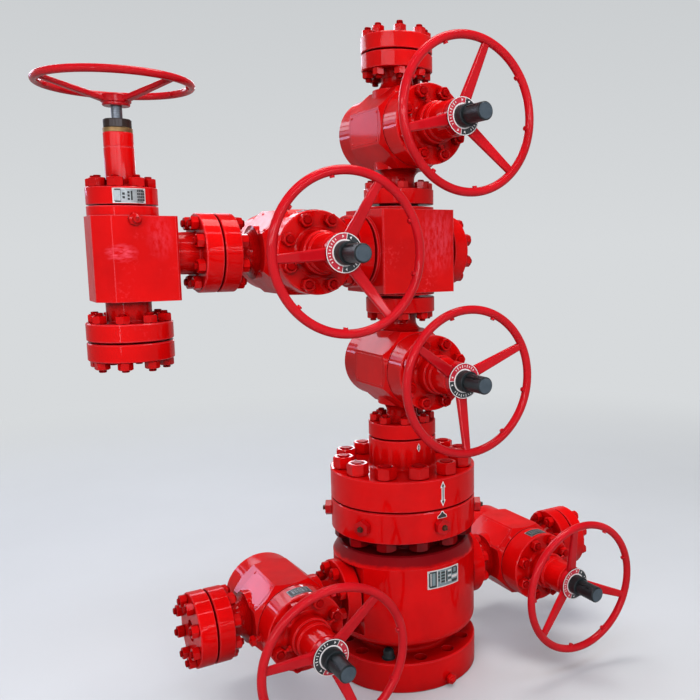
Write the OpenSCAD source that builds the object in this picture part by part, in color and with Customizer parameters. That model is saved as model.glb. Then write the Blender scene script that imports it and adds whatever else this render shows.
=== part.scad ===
// Oil wellhead valve stack: tubing head spool, adapter, five gate valves, cross, tree cap and choke.
// Millimetres, +Z up, origin at the centre of the base flange's underside.
// The wing line runs along X, with the choke on -X. The valve stems point along -Y.

/* [Run flanges] */
// Outer diameter of the flanges on the valves, cap and choke
run_od = 270; // [262:1:276]
// Thickness of those flanges
run_t = 58.4; // [54:0.2:62]
// Distance from a rim to the centres of its studs
run_edge = 27.05; // [25.5:0.05:28.5]
// Stud hole diameter
run_hole = 29; // [27:0.5:31]
// Number of studs in a run flange
run_studs = 8; // [8]
// Flow bore
run_bore = 77.8; // [65:0.1:80]
// Diameter of the raised face
face_od = 153; // [148:1:160]
// Height of the raised face
face_h = 3; // [2:0.5:4]
// Hub diameter where it meets the flange
hub_od = 142; // [138:1:146]
// Diameter of the necks
neck_od = 122; // [118:1:128]
// Bevel on flange rims
rim_bevel = 3; // [2:0.5:4]

/* [Wellhead flanges] */
// Outer diameter of the wellhead flanges
big_od = 584; // [570:1:600]
// Thickness of those flanges
big_t = 119; // [112:1:126]
// Distance from a rim to the centres of its studs
big_edge = 50.7; // [49:0.1:52]
// Stud hole diameter
big_hole = 51; // [48:1:54]
// Number of studs in a wellhead flange
big_studs = 12; // [12]
// Raised face diameter
big_face_od = 350; // [340:1:360]

/* [Tubing head] */
// Height of the tubing head spool
head_h = 720; // [700:5:760]
// How far the drum stands in from the flange's rim
drum_inset = 2; // [0:1:5]
// Rounding at the drum's foot
drum_round = 42; // [36:1:48]
// Height at which the full drum starts
drum_z0 = 220; // [210:1:230]
// Height at which the full drum ends
drum_z1 = 499; // [490:1:505]
// Diameter of the necks above and below the drum
head_neck_od = 380; // [370:1:390]
// Height of the neck below the drum
low_neck_h = 52; // [46:1:60]
// Rise of the shoulder above the drum
shoulder_h = 41; // [36:1:46]
// Inner bore of the tubing head
head_bore = 280; // [260:2:300]
// Height of the side outlets
outlet_z = 357; // [350:1:362]
// Distance from the centre to the side outlet faces
outlet_x = 256; // [252:1:258]

/* [Tie-down screws] */
// Number of tie-down screws round the rim of the top flange
tie_count = 6; // [6]
// Direction of the first one
tie_angle = 30; // [30]
// Across flats of the gland nut
tie_nut_af = 54; // [48:1:58]
// How far the gland nut stands out of the rim
tie_nut_out = 24; // [18:1:30]
// Depth of its counterbore in the rim
tie_depth = 30; // [24:1:40]
// Diameter of the screw
tie_screw_d = 24; // [20:1:28]
// How far the screw stands out of the nut
tie_screw_out = 12; // [8:1:20]

/* [Adapter] */
// Length of the adapter's neck above its flange
adapter_neck_h = 117; // [110:1:130]

/* [Gate valves] */
// Length of a valve between the rims of its flanges
valve_ff = 553; // [545:1:575]
// Width of the block across its flats
barrel_af = 294; // [286:1:302]
// Width of the bevels along the block
barrel_bevel = 82; // [76:1:90]
// Distance from the flow line to the block's front, where the bonnet starts
barrel_front = 143; // [138:1:148]
// Distance from the flow line to the block's rear corners
barrel_back = 128; // [120:1:136]
// Length over which the block's corners are turned down at its front
front_turn_l = 26; // [20:1:32]
// Length over which they are turned down at its rear
rear_turn_l = 22; // [16:1:30]
// Diameter of the round rear end
rear_d = 290; // [280:1:293]
// Distance from the flow line to the rear end's face
rear_y = 226; // [220:1:232]
// Bevel on the rim of the rear end
rear_bevel = 8; // [6:1:12]
// Radius that blends the necks into the block
neck_blend = 34; // [28:1:36]
// Bonnet flange diameter
bonnet_d = 286; // [280:1:292]
// Bonnet flange thickness
bonnet_t = 99; // [94:1:104]
// Distance from its rim to the centres of its studs
bonnet_edge = 27; // [25:1:29]
// Stud hole diameter of the bonnet
bonnet_hole = 27; // [25:1:29]
// Gap between the body and the bonnet's rim
bonnet_gap = 3; // [2:0.5:4]
// Diameter of the bonnet's spigot face
bonnet_face_d = 190; // [180:1:196]
// Diameter of the bonnet's neck
bonnet_neck_d = 148; // [140:1:156]
// Length of the bonnet's neck
bonnet_neck_l = 55; // [48:1:60]
// Bearing cap diameter
cap_d = 126; // [120:1:130]
// Bearing cap length
cap_l = 125; // [120:1:132]
// Diameter of the collar on the bearing cap
cap_collar_d = 136; // [132:1:140]
// Width of that collar
cap_collar_l = 24; // [18:1:30]
// Bore of the bearing cap
cap_bore = 60; // [54:1:64]
// Depth of that bore
cap_bore_l = 84; // [76:1:90]

/* [Valve handwheels] */
// Overall diameter of a valve handwheel
wheel_d = 539; // [520:1:550]
// Thickness of the rim
wheel_rim_d = 30; // [26:1:32]
// How far the rim stands in front of the hub's face
wheel_dish = 38.6; // [30:0.2:44]
// Diameter of the hub
hub_disc_d = 124; // [120:1:126]
// Thickness of the hub
hub_t = 26; // [24:1:30]
// Width of a spoke at the hub
spoke_w0 = 42; // [36:1:46]
// Depth of a spoke at the hub
spoke_t0 = 20; // [18:1:22]
// Width of a spoke at the rim
spoke_w1 = 27; // [22:1:30]
// Depth of a spoke at the rim
spoke_t1 = 17; // [15:1:19]
// Diameter of the grips inside the rim
grip_d = 16; // [12:1:18]
// How far a grip stands in from the rim
grip_out = 6; // [4:1:8]
// Turn of the two grips away from the middle between two spokes
grip_turn = 21; // [15:1:30]
// How far a spoke's root lies inside the hub's rim
spoke_root = 12; // [10:1:14]
// Gap between the hub and the bearing cap
wheel_gap = 1; // [0.5:0.1:2]
// Radial play of the hub's sleeve in the bearing cap
play = 0.05; // [0.03:0.01:0.08]
// Space left at the end of the sleeve
end_gap = 2; // [1:0.5:5]

/* [Stem guards] */
// Diameter of the dial at the foot of the guard
dial_d = 128; // [120:1:130]
// Thickness of the dial
dial_t = 2.5; // [2:0.5:4]
// Diameter of the guard
guard_d = 76; // [72:1:80]
// Length of its wide foot
guard_l = 40; // [34:1:46]
// Diameter of its tube
guard_tip_d = 61; // [58:1:64]
// Length of its tube
guard_tip_l = 94; // [86:1:100]
// Width of the sight slot
slot_w = 6; // [5:0.5:8]
// Length of the sight slot
slot_l = 64; // [56:1:70]

/* [Cross block] */
// Width and depth of the block
block_w = 310; // [300:1:320]
// Height of the block
block_h = 312.5; // [300:0.5:320]
// Height of the round pads on the block
pad_h = 12; // [8:1:14]
// Gap between a pad and the flange bolted to it
pad_gap = 9; // [7:0.5:11]
// Bevel along the block's edges
block_bevel = 4; // [2:1:6]

/* [Choke] */
// Distance from the inlet flange's rim to the choke's axis
choke_x = 284.6; // [280:0.2:292]
// Half width of the choke body on its outer side
choke_out = 109; // [104:1:114]
// Half width of the choke body on its inlet side
choke_in = 145; // [138:1:150]
// Depth of the choke body
choke_depth = 226; // [218:1:234]
// Bevel on its two outer corners
choke_bevel = 51; // [45:1:56]
// Height of the body above the flow line
choke_up = 120; // [116:1:126]
// Depth of the body below the flow line
choke_down = 151; // [146:1:156]
// Diameter of the choke's top collar and bonnet
choke_bonnet_d = 218; // [212:1:224]
// Height of the top collar
choke_collar_h = 31; // [28:1:34]
// Gap between the collar and the bonnet
choke_gap = 3.6; // [3:0.1:5]
// Thickness of the bonnet
choke_bonnet_t = 55; // [50:1:58]
// Distance from the bonnet's rim to the centres of its studs
choke_edge = 26; // [24:0.5:28]
// Stud hole diameter of the bonnet
choke_hole = 24; // [22:1:26]
// Diameter of the tube on the bonnet
choke_tube_d = 92; // [87:1:97]
// Length of the tube
choke_tube_l = 172; // [164:1:180]
// Height of the groove on the tube
choke_groove_h = 126; // [120:1:132]
// Thickness of the brass ring
brass_t = 14; // [12:1:16]
// Diameter of the brass ring
brass_d = 90; // [84:1:92]
// Height of the lock collar
lock_h = 27; // [24:1:30]
// Diameter of the lock collar
lock_d = 85; // [78:1:88]
// Diameter of the lock lever
lever_d = 7; // [6:0.5:9]
// Reach of the lock lever from the axis
lever_reach = 60; // [54:1:66]
// Length of the lever's long leg
lever_drop = 170; // [150:1:175]
// Slant of the lever's long leg, away from the axis as it goes down
lever_slant = 13; // [8:1:16]
// Direction of the lock lever
lever_angle = 100; // [90:1:110]
// Diameter of the choke stem
stem_d = 34; // [30:1:36]
// Length of the stem that shows above the lock collar
stem_show = 41; // [36:1:46]
// Diameter of the bottom neck
choke_neck_d = 142; // [136:1:146]
// Length of the bottom neck
choke_neck_l = 68; // [64:1:74]

/* [Choke handwheel] */
// Overall diameter
cwheel_d = 486; // [470:1:500]
// Thickness of the rim
cwheel_rim_d = 24; // [20:1:26]
// Height of the rim above the hub's base
cwheel_dish = 70; // [60:1:78]
// Diameter of the hub
cwheel_hub_d = 92; // [86:1:98]
// Height of the hub
cwheel_hub_h = 34; // [30:1:38]
// Width of a spoke at the hub
cspoke_w0 = 34; // [30:1:38]
// Depth of a spoke at the hub
cspoke_t0 = 18; // [16:1:20]
// Width of a spoke at the rim
cspoke_w1 = 22; // [20:1:24]
// Depth of a spoke at the rim
cspoke_t1 = 15; // [13:1:17]

/* [Hidden] */

paint = [0.80, 0.05, 0.06];
plastic = [0.10, 0.13, 0.14];
steel = [0.45, 0.48, 0.52];
brass = [0.72, 0.55, 0.25];
black = [0.12, 0.11, 0.11];

// Rim gap between two flanges that meet at their raised faces
rim_gap = 2*face_h;
// Stud circles
run_bc = run_od - 2*run_edge;
big_bc = big_od - 2*big_edge;
bonnet_bc = bonnet_d - 2*bonnet_edge;
choke_bc = choke_bonnet_d - 2*choke_edge;
drum_d = big_od - 2*drum_inset;
mid_turn = 60;
// Half the length of a valve, to its rims
half_ff = valve_ff/2;
// Heights of the vertical run
base_neck_z = big_t;
big_gap_z = head_h + face_h;
adapter_z = head_h + rim_gap;
adapter_top = adapter_z + big_t + adapter_neck_h;
master_z = adapter_top + rim_gap + half_ff;
block_z0 = master_z + half_ff + pad_gap + pad_h;
block_z1 = block_z0 + block_h;
wing_z = (block_z0 + block_z1)/2;
swab_z = block_z1 + pad_h + pad_gap + half_ff;
cap_z = swab_z + half_ff + rim_gap;
// Places along the wing line
pad_x = block_w/2 + pad_h + pad_gap;
wing_x = -(pad_x + half_ff);
choke_rim_x = wing_x - half_ff - rim_gap;
choke_cx = choke_rim_x - choke_x;
// Places of the annulus valves
annulus_x = outlet_x + rim_gap + half_ff;
annulus_flange_x = annulus_x + half_ff + rim_gap;
// Distances along a valve's stem from the flow line
bonnet_y0 = barrel_front + bonnet_gap;
bonnet_y1 = bonnet_y0 + bonnet_t;
neck_y1 = bonnet_y1 + bonnet_neck_l;
cap_y1 = neck_y1 + cap_l;
hub_y0 = cap_y1 + wheel_gap;
hub_y1 = hub_y0 + hub_t;
rim_y = hub_y1 + wheel_dish;
// Heights on the choke
choke_top = wing_z + choke_up;
choke_bottom = wing_z - choke_down;
choke_collar_z = choke_top + choke_collar_h;
choke_bonnet_z = choke_collar_z + choke_gap;
choke_tube_z = choke_bonnet_z + choke_bonnet_t;
brass_z = choke_tube_z + choke_tube_l;
lock_z = brass_z + brass_t;
lock_top = lock_z + lock_h;
choke_hub_z = lock_top + stem_show;
choke_outlet_z = choke_bottom - choke_neck_l - run_t;
// Direction of the sight slot round the stem guard
slot_turn = 45;
// Depth of the sight slot
slot_deep = 4;
// Roundness of the spokes' edges, as a part of their depth
spoke_round = 0.36;
// Direction of the choke wheel's first spoke
choke_turn = 66;
// Part of the choke's bonnet that its seat takes up
choke_seat_part = 0.6;
// How far the choke's stem reaches down into the tube below its groove
stem_in = 60;
// Smoothness of turned shapes
fine = 96;
// Steps in a rounded corner of an outline
steps = 6;

function arc(cx, cy, r, a0, a1) = [for (i = [0:steps]) let (a = a0 + (a1 - a0)*i/steps)
    [cx + r*cos(a), cy + r*sin(a)]];

// A turned shape along Z from an outline of radius and height
module turned(points) {
    rotate_extrude($fn = fine) polygon(points);
}

// A plain disc with bevelled edges, from z to z + h
module disc(d, h, z = 0, bevel = 2) {
    translate([0, 0, z]) turned([[0, 0], [d/2 - bevel, 0], [d/2, bevel], [d/2, h - bevel],
        [d/2 - bevel, h], [0, h]]);
}

// Holes on a circle, straddling the axes
module hole_ring(count, bc, d, z0, z1) {
    for (i = [0:count - 1])
        rotate([0, 0, (i + 0.5)*360/count])
            translate([bc/2, 0, z0]) cylinder(d = d, h = z1 - z0, $fn = 32);
}

// A run flange: its rim from 0 to run_t, its raised face just below 0
module run_flange_solid() {
    disc(run_od, run_t, 0, rim_bevel);
    translate([0, 0, -face_h]) cylinder(d = face_od, h = 2*face_h, $fn = fine);
}

module run_flange_holes() {
    hole_ring(run_studs, run_bc, run_hole, -1, run_t + 1);
}

// The taper from a flange's back to a neck of length l and diameter d
module hub_taper(d, l) {
    fillet = (hub_od - d)/2;
    translate([0, 0, run_t - 1]) turned([[0, 0], [hub_od/2 + 5, 0], [hub_od/2 + 5, 1],
        [hub_od/2, 6], [d/2, 6 + 2*fillet], [d/2, l + 1], [0, l + 1]]);
}

// Places a valve: its flow line along Z, or along X, and its stem along -Y
module at_valve(x, z, along_x) {
    translate([x, 0, z]) rotate([0, along_x ? 90 : 0, 0]) children();
}

// Turns +Z to -Y, so that a shape is drawn along the stem
module along_stem() {
    rotate([90, 0, 0]) children();
}

// The barrel's outline, a square with bevelled corners
module barrel_outline(af, bevel) {
    h = af/2;
    polygon([[-h, -h + bevel], [-h + bevel, -h], [h - bevel, -h], [h, -h + bevel],
        [h, h - bevel], [h - bevel, h], [-h + bevel, h], [-h, h - bevel]]);
}

// What a lathe leaves of the block along its stem: its corners turned down at both ends, and its
// round rear end
module barrel_turning() {
    flat_r = barrel_af/2;
    corner_r = norm([flat_r, flat_r - barrel_bevel]) + 1;
    rear_r = rear_d/2;
    turned([[0, -rear_y], [rear_r - rear_bevel, -rear_y], [rear_r, -rear_y + rear_bevel],
        [rear_r, -barrel_back], [flat_r - 2, -barrel_back], [corner_r, -barrel_back + rear_turn_l],
        [corner_r, barrel_front - front_turn_l], [flat_r - 4, barrel_front], [0, barrel_front]]);
}

// A forged gate valve body
module valve_body() {
    neck_r = neck_od/2;
    side = barrel_af/2;
    difference() {
        union() {
            along_stem() intersection() {
                translate([0, 0, -rear_y - 1]) linear_extrude(rear_y + barrel_front + 2)
                    barrel_outline(barrel_af, barrel_bevel);
                barrel_turning();
            }
            for (s = [0, 1]) mirror([0, 0, s]) {
                turned(concat([[0, 0], [neck_r + neck_blend, 0]],
                    arc(neck_r + neck_blend, side + neck_blend, neck_blend, 270, 180),
                    [[0, side + neck_blend]]));
                translate([0, 0, half_ff]) mirror([0, 0, 1]) {
                    run_flange_solid();
                    hub_taper(neck_od, half_ff - run_t - side);
                }
            }
        }
        for (s = [0, 1]) mirror([0, 0, s])
            translate([0, 0, half_ff]) mirror([0, 0, 1]) run_flange_holes();
        translate([0, 0, -half_ff - 2*face_h]) cylinder(d = run_bore, h = valve_ff + 4*face_h, $fn = 64);
    }
}

// The bonnet, along the stem
module valve_bonnet() {
    along_stem() difference() {
        union() {
            disc(bonnet_d, bonnet_t, bonnet_y0, 3);
            translate([0, 0, barrel_front]) cylinder(d = bonnet_face_d, h = bonnet_gap + 1, $fn = fine);
            translate([0, 0, bonnet_y1 - 1]) turned(concat([[0, 0], [bonnet_neck_d/2 + 14, 0]],
                arc(bonnet_neck_d/2 + 14, 15, 14, 270, 180),
                [[bonnet_neck_d/2, bonnet_neck_l - 3], [bonnet_neck_d/2 - 4, bonnet_neck_l + 1],
                [0, bonnet_neck_l + 1]]));
        }
        hole_ring(8, bonnet_bc, bonnet_hole, bonnet_y0 - 1, bonnet_y1 + 1);
    }
}

// The bearing cap that holds the handwheel's sleeve
module bearing_cap() {
    r = cap_d/2;
    along_stem() translate([0, 0, neck_y1]) difference() {
        turned([[0, 0], [cap_collar_d/2 - 2, 0], [cap_collar_d/2, 2], [cap_collar_d/2, cap_collar_l],
            [r, cap_collar_l + 5], [r, cap_l - 6], [r - 6, cap_l], [0, cap_l]]);
        translate([0, 0, cap_l - cap_bore_l]) cylinder(d = cap_bore, h = cap_bore_l + 1, $fn = 64);
    }
}

// A flat spoke that narrows from its root at x0, z0 to its end at x1, z1
module spoke(x0, z0, w0, t0, x1, z1, w1, t1) {
    hull() {
        translate([x0, 0, z0]) spoke_slice(w0, t0);
        translate([x1, 0, z1]) spoke_slice(w1, t1);
    }
}

// A spoke's section, a flat bar with rounded edges
module spoke_slice(w, t) {
    r = t*spoke_round;
    rotate([90, 0, 90]) linear_extrude(1) offset(r, $fn = 32) square([w - 2*r, t - 2*r], center = true);
}

// A dished handwheel with three spokes and six grips, its axis along Z and its rim above its hub
module wheel(od, rim_d, hub_z, rim_z, root_r, w0, t0, w1, t1, turn) {
    ring_r = (od - rim_d)/2;
    translate([0, 0, rim_z]) rotate_extrude($fn = fine) translate([ring_r, 0]) circle(d = rim_d, $fn = 32);
    for (i = [0:2]) rotate([0, 0, turn + 120*i]) {
        spoke(root_r, hub_z, w0, t0, ring_r - 1, rim_z, w1, t1);
        for (a = [mid_turn - grip_turn, mid_turn + grip_turn]) rotate([0, 0, a])
            translate([ring_r - rim_d/2 - grip_out, 0, rim_z]) rotate([0, 90, 0])
                cylinder(d = grip_d, h = rim_d/2 + grip_out, $fn = 24);
    }
}

// A valve handwheel with its sleeve in the bearing cap. turn sets where the spokes point.
module valve_handwheel(turn) {
    sleeve_l = hub_y0 - cap_y1 + cap_bore_l - end_gap;
    along_stem() {
        disc(hub_disc_d, hub_t, hub_y0, 2);
        translate([0, 0, hub_y0 - sleeve_l]) cylinder(d = cap_bore - 2*play, h = sleeve_l + 1, $fn = 64);
        wheel(wheel_d, wheel_rim_d, hub_y0 + spoke_t0/2 + 1, rim_y, hub_disc_d/2 - spoke_root,
            spoke_w0, spoke_t0, spoke_w1, spoke_t1, turn);
    }
}

// The stem guard with its dial, on the hub's face
module stem_guard() {
    r = guard_d/2;
    tip_r = guard_tip_d/2;
    along_stem() translate([0, 0, hub_y1]) difference() {
        union() {
            cylinder(d = dial_d, h = dial_t, $fn = fine);
            turned([[0, 0], [r, 0], [r, guard_l - 3], [r - 3, guard_l], [tip_r, guard_l],
                [tip_r, guard_l + guard_tip_l - 4], [tip_r - 4, guard_l + guard_tip_l],
                [0, guard_l + guard_tip_l]]);
        }
        rotate([0, 0, slot_turn]) translate([-slot_w/2, tip_r - slot_deep, guard_l + 4])
            cube([slot_w, slot_deep + 1, slot_l]);
    }
}

// The tubing head spool: base flange, drum with two side outlets, shoulder and top flange
module tubing_head_spool() {
    big_r = big_od/2;
    neck_r = head_neck_od/2;
    drum_r = drum_d/2;
    neck_top = base_neck_z + low_neck_h;
    shoulder_z = drum_z1 + shoulder_h;
    top_z0 = head_h - big_t;
    color(paint) difference() {
        union() {
            turned(concat(
                [[0, 0], [big_r - 4, 0], [big_r, 4], [big_r, base_neck_z - 4], [big_r - 4, base_neck_z]],
                arc(neck_r + 14, base_neck_z + 14, 14, 270, 180),
                arc(neck_r + 10, neck_top - 10, 10, 180, 90),
                arc(drum_r - drum_round, drum_z0, drum_round, 270, 360),
                [[drum_r, drum_z1], [drum_r - 24, shoulder_z], [drum_r - 32, shoulder_z + 5]],
                arc(neck_r + 8, shoulder_z + 13, 8, 270, 180),
                [[neck_r, top_z0 - 10], [neck_r + 10, top_z0], [big_r - 4, top_z0], [big_r, top_z0 + 4],
                [big_r, head_h - 4], [big_r - 4, head_h], [big_face_od/2, head_h],
                [big_face_od/2, head_h + face_h], [0, head_h + face_h]]));
            for (s = [0, 1]) mirror([s, 0, 0])
                translate([0, 0, outlet_z]) rotate([0, 90, 0])
                    cylinder(d = face_od, h = outlet_x + face_h, $fn = fine);
        }
        for (s = [0, 1]) mirror([s, 0, 0]) difference() {
            translate([outlet_x, -run_od/2 - 2, outlet_z - run_od/2 - 1])
                cube([drum_r, run_od + 4, run_od + 2]);
            translate([0, 0, outlet_z]) rotate([0, 90, 0])
                cylinder(d = face_od, h = outlet_x + face_h, $fn = fine);
        }
        translate([0, 0, -1]) cylinder(d = head_bore, h = head_h + face_h + 2, $fn = fine);
        translate([-drum_d, 0, outlet_z]) rotate([0, 90, 0]) cylinder(d = run_bore, h = 2*drum_d, $fn = 64);
        hole_ring(big_studs, big_bc, big_hole, -1, base_neck_z + 1);
        hole_ring(big_studs, big_bc, big_hole, top_z0 - 1, head_h + 1);
        for (i = [0:tie_count - 1]) rotate([0, 0, tie_angle + i*360/tie_count])
            translate([big_r - tie_depth, 0, tie_z]) rotate([0, 90, 0])
                cylinder(d = tie_gland_d, h = tie_depth + 1, $fn = 32);
    }
}

// Height of the tie-down screws and the diameter of their gland nuts' round part
tie_z = head_h - big_t/2;
tie_gland_d = tie_nut_af - 8;

// Tie-down screws: a gland nut and a screw with a squared end, round the rim of the top flange
module tie_down_screws() {
    square_w = tie_screw_d*0.62;
    color(steel) for (i = [0:tie_count - 1]) rotate([0, 0, tie_angle + i*360/tie_count])
        translate([big_od/2, 0, tie_z]) rotate([0, 90, 0]) {
            translate([0, 0, -tie_depth]) cylinder(d = tie_gland_d - 0.1, h = tie_depth + 1, $fn = 32);
            translate([0, 0, 0.4]) cylinder(d = tie_nut_af/cos(30), h = tie_nut_out, $fn = 6);
            cylinder(d = tie_screw_d, h = tie_nut_out + tie_screw_out*0.3, $fn = 32);
            translate([-square_w/2, -square_w/2, 0])
                cube([square_w, square_w, tie_nut_out + tie_screw_out]);
        }
}

// The adapter from the tubing head to the master valve
module tubing_head_adapter() {
    big_r = big_od/2;
    neck_r = run_od/2;
    h = big_t + adapter_neck_h;
    color(paint) translate([0, 0, adapter_z]) difference() {
        union() {
            turned(concat([[0, -face_h], [big_face_od/2, -face_h], [big_face_od/2, 0], [big_r - 4, 0],
                [big_r, 4], [big_r, big_t - 4], [big_r - 4, big_t]],
                arc(neck_r + 12, big_t + 12, 12, 270, 180),
                [[neck_r, h - rim_bevel], [neck_r - rim_bevel, h], [face_od/2, h], [face_od/2, h + face_h],
                [0, h + face_h]]));
        }
        translate([0, 0, -face_h - 1]) cylinder(d = run_bore, h = h + 2*face_h + 2, $fn = 64);
        hole_ring(big_studs, big_bc, big_hole, -1, big_t + 1);
    }
}

// The cross: a square block with a round pad on each of its four outlets
module cross_block() {
    half = block_w/2;
    seat = pad_gap - face_h;
    color(paint) difference() {
        union() {
            translate([0, 0, block_z0]) linear_extrude(block_h) polygon([
                [-half, -half + block_bevel], [-half + block_bevel, -half], [half - block_bevel, -half],
                [half, -half + block_bevel], [half, half - block_bevel], [half - block_bevel, half],
                [-half + block_bevel, half], [-half, half - block_bevel]]);
            for (s = [0, 1]) translate([0, 0, wing_z]) {
                mirror([0, 0, s]) block_pad(block_h/2, seat);
                mirror([s, 0, 0]) rotate([0, 90, 0]) block_pad(half, seat);
            }
        }
        translate([0, 0, block_z0 - 2*pad_h]) cylinder(d = run_bore, h = block_h + 4*pad_h + pad_gap, $fn = 64);
        translate([-block_w, 0, wing_z]) rotate([0, 90, 0]) cylinder(d = run_bore, h = 2*block_w, $fn = 64);
    }
}

// One pad with its raised seat
module block_pad(from, seat) {
    disc(run_od, pad_h + 4, from - 4, 2);
    translate([0, 0, from]) cylinder(d = face_od, h = pad_h + seat, $fn = fine);
}

// The tree cap, a blind flange on the swab valve
module tree_cap() {
    color(paint) translate([0, 0, cap_z]) difference() {
        run_flange_solid();
        run_flange_holes();
    }
}

// The blind flange on the free side of the cross
module blind_flange() {
    color(paint) translate([pad_x, 0, wing_z]) rotate([0, 90, 0]) difference() {
        run_flange_solid();
        run_flange_holes();
    }
}

// The choke body, an angle body with its inlet on +X and its outlet below
module choke_body() {
    half = choke_depth/2;
    neck_l = choke_x - choke_in - run_t;
    color(paint) difference() {
        union() {
            translate([choke_cx, 0, choke_bottom]) linear_extrude(choke_up + choke_down) polygon([
                [-choke_out, -half + choke_bevel], [-choke_out + choke_bevel, -half],
                [choke_in - 8, -half], [choke_in, -half + 8], [choke_in, half - 8], [choke_in - 8, half],
                [-choke_out + choke_bevel, half], [-choke_out, half - choke_bevel]]);
            translate([choke_cx, 0, choke_top - 1]) disc(choke_bonnet_d, choke_collar_h + 1, 0, 2);
            translate([choke_rim_x, 0, wing_z]) rotate([0, -90, 0]) {
                run_flange_solid();
                hub_taper(choke_neck_d, neck_l + 1);
            }
            translate([choke_cx, 0, choke_outlet_z]) {
                run_flange_solid();
                hub_taper(choke_neck_d, choke_neck_l + 1);
            }
        }
        translate([choke_rim_x, 0, wing_z]) rotate([0, -90, 0]) run_flange_holes();
        translate([choke_cx, 0, choke_outlet_z]) run_flange_holes();
        translate([choke_rim_x + 2*face_h, 0, wing_z]) rotate([0, -90, 0])
            cylinder(d = run_bore, h = choke_x + 2*face_h, $fn = 64);
        translate([choke_cx, 0, choke_outlet_z - 2*face_h])
            cylinder(d = run_bore, h = wing_z - choke_outlet_z + 2*face_h, $fn = 64);
    }
}

// The choke bonnet with its long tube
module choke_bonnet() {
    r = choke_tube_d/2;
    color(paint) translate([choke_cx, 0, choke_bonnet_z]) difference() {
        union() {
            disc(choke_bonnet_d, choke_bonnet_t, 0, 2);
            translate([0, 0, -choke_gap])
                cylinder(d = choke_bonnet_d*choke_seat_part, h = choke_gap + 1, $fn = fine);
            translate([0, 0, choke_bonnet_t - 1]) turned([[0, 0], [r + 6, 0], [r + 6, 2], [r, 12],
                [r, choke_groove_h - 1], [r - 1.5, choke_groove_h], [r - 1.5, choke_groove_h + 2],
                [r - 0.5, choke_groove_h + 3], [r - 0.5, choke_tube_l - 1], [r - 2, choke_tube_l + 1],
                [0, choke_tube_l + 1]]);
        }
        hole_ring(8, choke_bc, choke_hole, -1, choke_bonnet_t + 1);
        translate([0, 0, choke_bonnet_t + choke_groove_h - stem_in])
            cylinder(d = stem_d + 2*play, h = choke_tube_l, $fn = 64);
    }
}

// The brass ring on top of the tube
module choke_brass_ring() {
    color(brass) translate([choke_cx, 0, brass_z]) difference() {
        disc(brass_d, brass_t, 0, 1);
        translate([0, 0, -1]) cylinder(d = stem_d + 2*play, h = brass_t + 2, $fn = 64);
    }
}

// The lock collar with its bent lever
module choke_lock_collar() {
    mid = lock_h/2;
    color(black) translate([choke_cx, 0, lock_z]) difference() {
        union() {
            disc(lock_d, lock_h, 0, 2);
            rotate([0, 0, lever_angle]) {
                translate([lock_d/2 - 4, 0, mid]) rotate([0, 90, 0])
                    cylinder(d = lever_d, h = lever_reach - lock_d/2 + 4, $fn = 24);
                translate([lever_reach, 0, mid]) sphere(d = lever_d + 1, $fn = 24);
                translate([lever_reach, 0, mid]) rotate([0, 180 - lever_slant, 0])
                    cylinder(d = lever_d, h = lever_drop, $fn = 24);
            }
        }
        translate([0, 0, -1]) cylinder(d = stem_d + 2*play, h = lock_h + 2, $fn = 64);
    }
}

// The choke stem, which turns with its wheel
module choke_stem() {
    below = choke_tube_l - choke_groove_h + stem_in - 5*end_gap;
    color(steel) translate([choke_cx, 0, brass_z - below])
        cylinder(d = stem_d, h = choke_hub_z - brass_z + below, $fn = 64);
}

// The choke handwheel, flat side down and rim up
module choke_handwheel() {
    r = cwheel_hub_d/2;
    color(paint) translate([choke_cx, 0, choke_hub_z]) {
        turned([[0, 0], [r - 6, 0], [r - 4, 3], [r - 4, 9], [r, 12], [r, cwheel_hub_h - 2],
            [r - 2, cwheel_hub_h], [0, cwheel_hub_h]]);
        wheel(cwheel_d, cwheel_rim_d, cwheel_hub_h*0.55, cwheel_dish, r - spoke_root,
            cspoke_w0, cspoke_t0, cspoke_w1, cspoke_t1, choke_turn);
    }
}

// The flange bolted under the choke
module choke_outlet_flange() {
    color(paint) translate([choke_cx, 0, choke_outlet_z - rim_gap]) mirror([0, 0, 1]) difference() {
        run_flange_solid();
        run_flange_holes();
        translate([0, 0, -2*face_h]) cylinder(d = run_bore, h = run_t + 4*face_h, $fn = 64);
    }
}

// The flange bolted to the outer end of an annulus valve, on the side s = 1 or -1
module annulus_flange(s) {
    color(paint) translate([s*annulus_flange_x, 0, outlet_z]) rotate([0, 90*s, 0]) difference() {
        run_flange_solid();
        run_flange_holes();
        translate([0, 0, -2*face_h]) cylinder(d = run_bore, h = run_t + 4*face_h, $fn = 64);
    }
}

tubing_head_spool();
tie_down_screws();
tubing_head_adapter();
cross_block();
tree_cap();
blind_flange();

// Each gate valve: name, x, z, flow line along X, direction of its first spoke
VALVES = [
    ["master", 0, master_z, false, 27],
    ["swab", 0, swab_z, false, 74],
    ["wing", wing_x, wing_z, true, 184],
    ["left_annulus", -annulus_x, outlet_z, true, 51],
    ["right_annulus", annulus_x, outlet_z, true, 99]
];
for (v = VALVES) {
    color(paint) at_valve(v[1], v[2], v[3]) valve_body();
    color(paint) at_valve(v[1], v[2], false) valve_bonnet();
    color(paint) at_valve(v[1], v[2], false) bearing_cap();
    color(paint) at_valve(v[1], v[2], false) valve_handwheel(v[4]);
    color(plastic) at_valve(v[1], v[2], false) stem_guard();
}

choke_body();
choke_bonnet();
choke_brass_ring();
choke_lock_collar();
choke_stem();
choke_handwheel();
choke_outlet_flange();
annulus_flange(-1);  // left_annulus_flange
annulus_flange(1);  // right_annulus_flange
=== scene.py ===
# Looks for the wellhead valve stack: materials, studs and nuts, dials, plates and fittings, light and camera.
# Metres, in the row frame: +Z up, the wing line along X, valve stems along -Y.
import math
import bpy
from mathutils import Vector, Matrix


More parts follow.
